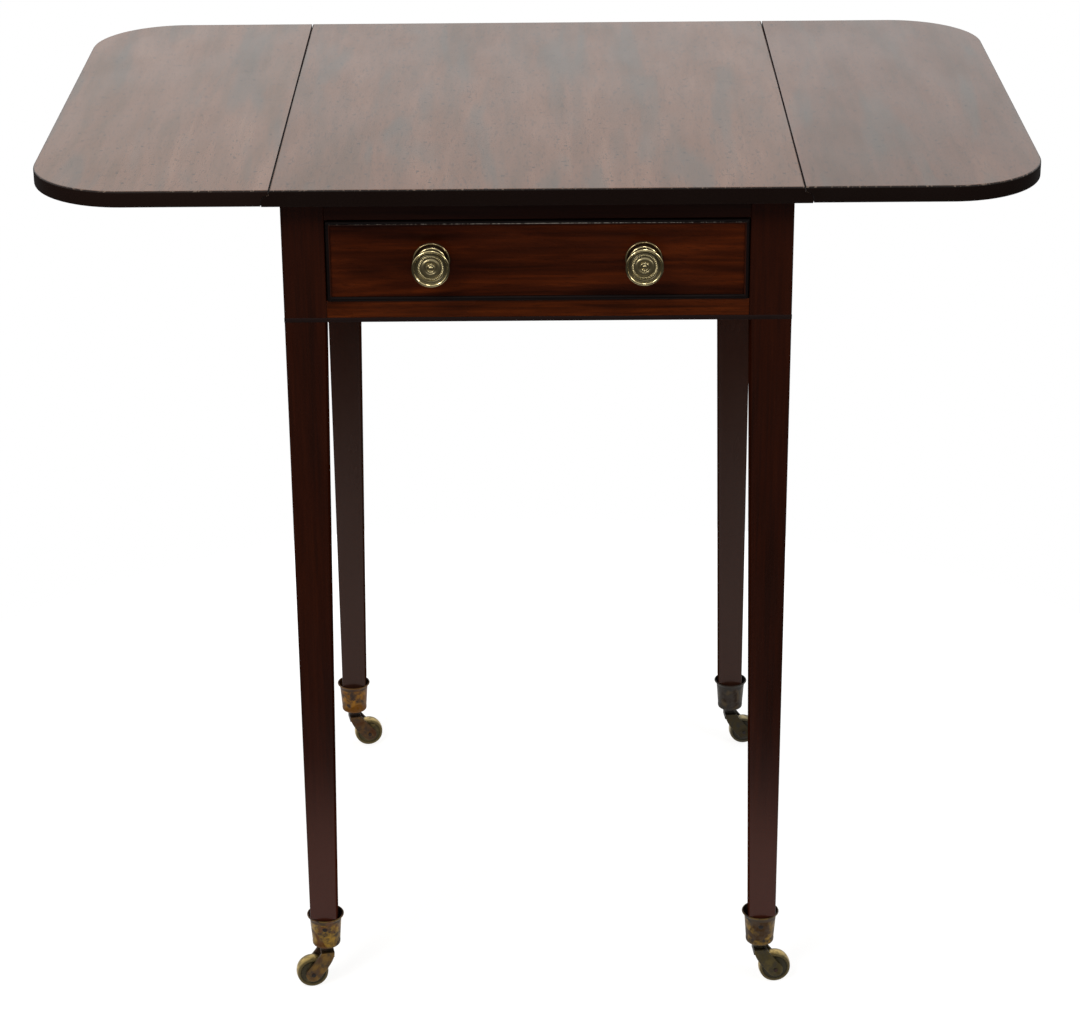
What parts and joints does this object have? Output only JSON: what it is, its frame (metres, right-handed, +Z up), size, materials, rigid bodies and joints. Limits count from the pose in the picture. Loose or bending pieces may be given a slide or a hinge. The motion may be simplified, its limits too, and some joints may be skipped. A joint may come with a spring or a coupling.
{
  "type": "pembroke table",
  "caption": "Pembroke table with drop leaves on rule joints, swinging brackets, a frieze drawer with turned brass knobs, and square tapered legs on brass cup casters.",
  "frame": {"origin": "on the floor under the middle of the top, with the leaves up", "axes": "+X to the right across the leaves, +Y to the back, away from the drawer end, +Z up"},
  "size_m": [0.776, 0.498, 0.712],
  "materials": {
    "top_mahogany": "polished",
    "frame_mahogany": "polished",
    "drawer_mahogany": "polished",
    "drawer_lining": "bare",
    "ebonised_wood": "polished",
    "knob_brass": "aged",
    "caster_brass": "aged",
    "iron": "dark"
  },
  "bodies": {
    "frame": {"fixed_top": "top_mahogany", "front_left_leg": "frame_mahogany", "front_right_leg": "frame_mahogany", "back_left_leg": "frame_mahogany", "back_right_leg": "frame_mahogany", "front_top_rail": "frame_mahogany", "back_rail": "frame_mahogany", "left_fly_rail_front": "frame_mahogany", "left_fly_rail_rear": "frame_mahogany", "right_fly_rail_front": "frame_mahogany", "right_fly_rail_rear": "frame_mahogany", "front_lower_rail": "drawer_mahogany", "left_side_rail": "drawer_lining", "left_drawer_runner": "drawer_lining", "left_drawer_kicker": "drawer_lining", "right_side_rail": "drawer_lining", "right_drawer_runner": "drawer_lining", "right_drawer_kicker": "drawer_lining", "frame_stringing": "ebonised_wood", "dummy_cock_bead": "ebonised_wood", "dummy_knobs": "knob_brass", "dummy_knob_roses": "knob_brass", "dummy_knob_nuts": "knob_brass", "caster_cups": "caster_brass", "hinge_fixed_flaps": "iron", "hinge_pins": "iron", "hinge_fixed_screws": "iron", "fly_bracket_pins": "iron", "top_screws": "iron"},
    "drawer": {"drawer_front": "drawer_mahogany", "drawer_left_side": "drawer_lining", "drawer_right_side": "drawer_lining", "drawer_back": "drawer_lining", "drawer_bottom": "drawer_lining", "drawer_cock_bead": "ebonised_wood", "drawer_knobs": "knob_brass", "drawer_knob_roses": "knob_brass", "drawer_knob_nuts": "knob_brass"},
    "left_leaf": {"left_leaf": "top_mahogany", "left_hinge_leaf_flaps": "iron", "left_hinge_leaf_screws": "iron"},
    "left_bracket": {"left_fly_bracket": "frame_mahogany"},
    "right_leaf": {"right_leaf": "top_mahogany", "right_hinge_leaf_flaps": "iron", "right_hinge_leaf_screws": "iron"},
    "right_bracket": {"right_fly_bracket": "frame_mahogany"},
    "front_left_caster": {"front_left_caster_horn": "caster_brass", "front_left_caster_axle": "iron"},
    "front_left_wheel": {"front_left_caster_wheel": "caster_brass"},
    "front_right_caster": {"front_right_caster_horn": "caster_brass", "front_right_caster_axle": "iron"},
    "front_right_wheel": {"front_right_caster_wheel": "caster_brass"},
    "back_left_caster": {"back_left_caster_horn": "caster_brass", "back_left_caster_axle": "iron"},
    "back_left_wheel": {"back_left_caster_wheel": "caster_brass"},
    "back_right_caster": {"back_right_caster_horn": "caster_brass", "back_right_caster_axle": "iron"},
    "back_right_wheel": {"back_right_caster_wheel": "caster_brass"}
  },
  "joints": [
    {"name": "left_leaf_drop", "type": "hinge", "parent": "frame", "child": "left_leaf", "pos_m": [-0.201, 0, 0.7015], "axis": [0, 1, 0], "range_deg": [-90, 0]},
    {"name": "left_bracket_swing", "type": "hinge", "parent": "frame", "child": "left_bracket", "pos_m": [-0.187, 0.072, 0.65], "axis": [0, 0, -1], "range_deg": [0, 90]},
    {"name": "right_leaf_drop", "type": "hinge", "parent": "frame", "child": "right_leaf", "pos_m": [0.201, 0, 0.7015], "axis": [0, -1, 0], "range_deg": [-90, 0]},
    {"name": "right_bracket_swing", "type": "hinge", "parent": "frame", "child": "right_bracket", "pos_m": [0.187, 0.072, 0.65], "axis": [0, 0, 1], "range_deg": [0, 90]},
    {"name": "drawer_slide", "type": "slide", "parent": "frame", "child": "drawer", "axis": [0, -1, 0], "range_m": [0, 0.32]},
    {"name": "front_left_caster_swivel", "type": "hinge", "parent": "frame", "child": "front_left_caster", "pos_m": [-0.183, -0.216, 0.039], "axis": [0, 0, 1], "continuous": true},
    {"name": "front_left_wheel_roll", "type": "hinge", "parent": "front_left_caster", "child": "front_left_wheel", "pos_m": [-0.19576, -0.21848, 0.0135], "axis": [0.1908, -0.9816, 0], "continuous": true},
    {"name": "front_right_caster_swivel", "type": "hinge", "parent": "frame", "child": "front_right_caster", "pos_m": [0.183, -0.216, 0.039], "axis": [0, 0, 1], "continuous": true},
    {"name": "front_right_wheel_roll", "type": "hinge", "parent": "front_right_caster", "child": "front_right_wheel", "pos_m": [0.19595, -0.21487, 0.0135], "axis": [-0.0872, 0.9962, 0], "continuous": true},
    {"name": "back_left_caster_swivel", "type": "hinge", "parent": "frame", "child": "back_left_caster", "pos_m": [-0.183, 0.216, 0.039], "axis": [0, 0, 1], "continuous": true},
    {"name": "back_left_wheel_roll", "type": "hinge", "parent": "back_left_caster", "child": "back_left_wheel", "pos_m": [-0.17028, 0.2187, 0.0135], "axis": [-0.2079, 0.9781, 0], "continuous": true},
    {"name": "back_right_caster_swivel", "type": "hinge", "parent": "frame", "child": "back_right_caster", "pos_m": [0.183, 0.216, 0.039], "axis": [0, 0, 1], "continuous": true},
    {"name": "back_right_wheel_roll", "type": "hinge", "parent": "back_right_caster", "child": "back_right_wheel", "pos_m": [0.19595, 0.21713, 0.0135], "axis": [-0.0872, 0.9962, 0], "continuous": true}
  ]
}
